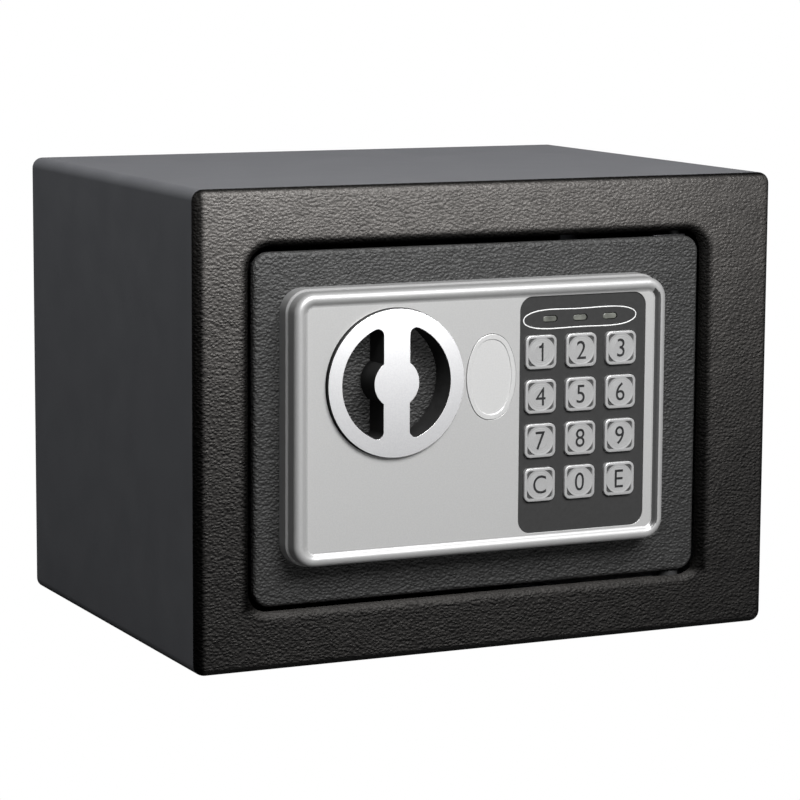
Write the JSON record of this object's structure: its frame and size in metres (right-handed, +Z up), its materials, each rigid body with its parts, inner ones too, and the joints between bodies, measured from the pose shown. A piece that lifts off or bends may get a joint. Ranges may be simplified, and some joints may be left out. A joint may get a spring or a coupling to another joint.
{
  "type": "electronic safe",
  "caption": "Small steel safe with a hinged front door, turning knob, numeric keypad, oval key cover and sliding bolts, with its inner bolt work.",
  "frame": {"origin": "middle of the body's base, on the face it stands on", "axes": "+X to the right seen from the front, +Y towards the back, +Z up"},
  "size_m": [0.23, 0.1815, 0.17],
  "materials": {
    "body_paint": "matt powder coat",
    "front_paint": "leather-grain powder coat",
    "door_paint": "leather-grain powder coat",
    "silver_plastic": "satin silver lacquer",
    "knob_silver": "satin silver lacquer on black plastic",
    "pad_plastic": "satin",
    "key_silver": "satin silver with black numerals",
    "rubber_mat": "matt",
    "board": "solder mask",
    "lens": "clear",
    "bright_steel": "nickel plated",
    "black_steel": "black oxide",
    "zinc_steel": "zinc plated",
    "brass": "turned",
    "copper": "enamelled wire",
    "cover_paint": "satin black",
    "black_plastic": "moulded",
    "cell_sleeve": "printed film",
    "carpet": "needle felt",
    "red_plastic": "moulded",
    "wire_red": "insulated wire"
  },
  "bodies": {
    "body": {"body_shell": "body_paint", "back_panel": "body_paint", "front_frame": "front_paint", "floor_mat": "carpet", "hinge_bracket_upper": "black_steel", "hinge_bracket_lower": "black_steel", "hinge_pins": "black_steel", "hinge_spacer": "black_plastic"},
    "door": {"door_plate": "door_paint", "hinge_lugs": "black_steel", "bezel": "silver_plastic", "bezel_screws": "zinc_steel", "keypad_panel": "pad_plastic", "keypad_mat": "rubber_mat", "circuit_board": "board", "board_spacers": "black_plastic", "status_lights": "lens", "spindle_bush": "brass", "bolt_guide": "zinc_steel", "carrier_stud": "zinc_steel", "lock_housing": "bright_steel", "lock_nut": "zinc_steel", "solenoid_frame": "zinc_steel", "solenoid_coil": "copper", "plunger_spring": "bright_steel", "door_cover": "cover_paint", "cover_posts": "brass", "cover_screws": "zinc_steel", "battery_box": "black_plastic", "batteries": "cell_sleeve", "battery_contacts": "bright_steel", "reset_switch": "black_plastic", "wiring": "wire_red", "wire_grommet": "black_plastic"},
    "turning_knob": {"knob": "knob_silver", "knob_spindle": "zinc_steel", "drive_cam": "zinc_steel", "spindle_clip": "zinc_steel"},
    "bolt_carriage": {"bolt_carrier": "zinc_steel", "upper_bolt": "bright_steel", "lower_bolt": "bright_steel", "bolt_nuts": "zinc_steel"},
    "solenoid_plunger": {"plunger": "bright_steel"},
    "key_plug": {"lock_plug": "bright_steel", "lock_cam": "zinc_steel"},
    "key_cover": {"keyhole_cover": "silver_plastic"},
    "reset": {"reset_button": "red_plastic"},
    "battery_door": {"battery_lid": "cover_paint"},
    "press_key_1": {"key_1": "key_silver"},
    "press_key_2": {"key_2": "key_silver"},
    "press_key_3": {"key_3": "key_silver"},
    "press_key_4": {"key_4": "key_silver"},
    "press_key_5": {"key_5": "key_silver"},
    "press_key_6": {"key_6": "key_silver"},
    "press_key_7": {"key_7": "key_silver"},
    "press_key_8": {"key_8": "key_silver"},
    "press_key_9": {"key_9": "key_silver"},
    "press_key_0": {"key_0": "key_silver"},
    "press_key_c": {"key_c": "key_silver"},
    "press_key_e": {"key_e": "key_silver"}
  },
  "joints": [
    {"name": "door_hinge", "type": "hinge", "parent": "body", "child": "door", "pos_m": [0.0775, -0.0775, 0.085], "axis": [0, 0, 1], "range_deg": [0, 95]},
    {"name": "knob_turn", "type": "hinge", "parent": "door", "child": "turning_knob", "pos_m": [-0.0438, -0.0835, 0.1012], "axis": [0, -1, 0], "range_deg": [0, 60]},
    {"name": "bolt_slide", "type": "slide", "parent": "door", "child": "bolt_carriage", "axis": [-1, 0, 0], "range_m": [0, 0.01514]},
    {"name": "plunger_slide", "type": "slide", "parent": "door", "child": "solenoid_plunger", "axis": [0, 0, 1], "range_m": [0, 0.004], "stiffness_N_per_m": 40, "deforming": ["plunger_spring"]},
    {"name": "key_turn", "type": "hinge", "parent": "door", "child": "key_plug", "pos_m": [-0.00588, -0.0835, 0.1012], "axis": [0, -1, 0], "range_deg": [0, 90]},
    {"name": "key_cover_pull", "type": "slide", "parent": "door", "child": "key_cover", "axis": [0, -1, 0], "range_m": [0, 0.02]},
    {"name": "reset_press", "type": "slide", "parent": "door", "child": "reset", "axis": [0, -1, 0], "range_m": [0, 0.0015], "stiffness_N_per_m": 400},
    {"name": "battery_lid_pull", "type": "slide", "parent": "door", "child": "battery_door", "axis": [0, 1, 0], "range_m": [0, 0.03]},
    {"name": "press_key_1_slide", "type": "slide", "parent": "door", "child": "press_key_1", "axis": [0, 1, 0], "range_m": [0, 0.0007], "stiffness_N_per_m": 900},
    {"name": "press_key_2_slide", "type": "slide", "parent": "door", "child": "press_key_2", "axis": [0, 1, 0], "range_m": [0, 0.0007], "stiffness_N_per_m": 900},
    {"name": "press_key_3_slide", "type": "slide", "parent": "door", "child": "press_key_3", "axis": [0, 1, 0], "range_m": [0, 0.0007], "stiffness_N_per_m": 900},
    {"name": "press_key_4_slide", "type": "slide", "parent": "door", "child": "press_key_4", "axis": [0, 1, 0], "range_m": [0, 0.0007], "stiffness_N_per_m": 900},
    {"name": "press_key_5_slide", "type": "slide", "parent": "door", "child": "press_key_5", "axis": [0, 1, 0], "range_m": [0, 0.0007], "stiffness_N_per_m": 900},
    {"name": "press_key_6_slide", "type": "slide", "parent": "door", "child": "press_key_6", "axis": [0, 1, 0], "range_m": [0, 0.0007], "stiffness_N_per_m": 900},
    {"name": "press_key_7_slide", "type": "slide", "parent": "door", "child": "press_key_7", "axis": [0, 1, 0], "range_m": [0, 0.0007], "stiffness_N_per_m": 900},
    {"name": "press_key_8_slide", "type": "slide", "parent": "door", "child": "press_key_8", "axis": [0, 1, 0], "range_m": [0, 0.0007], "stiffness_N_per_m": 900},
    {"name": "press_key_9_slide", "type": "slide", "parent": "door", "child": "press_key_9", "axis": [0, 1, 0], "range_m": [0, 0.0007], "stiffness_N_per_m": 900},
    {"name": "press_key_0_slide", "type": "slide", "parent": "door", "child": "press_key_0", "axis": [0, 1, 0], "range_m": [0, 0.0007], "stiffness_N_per_m": 900},
    {"name": "press_key_c_slide", "type": "slide", "parent": "door", "child": "press_key_c", "axis": [0, 1, 0], "range_m": [0, 0.0007], "stiffness_N_per_m": 900},
    {"name": "press_key_e_slide", "type": "slide", "parent": "door", "child": "press_key_e", "axis": [0, 1, 0], "range_m": [0, 0.0007], "stiffness_N_per_m": 900}
  ],
  "couplings": [
    {"joint": "bolt_slide", "follows": "knob_turn", "m_per_rad": 0.01445}
  ]
}
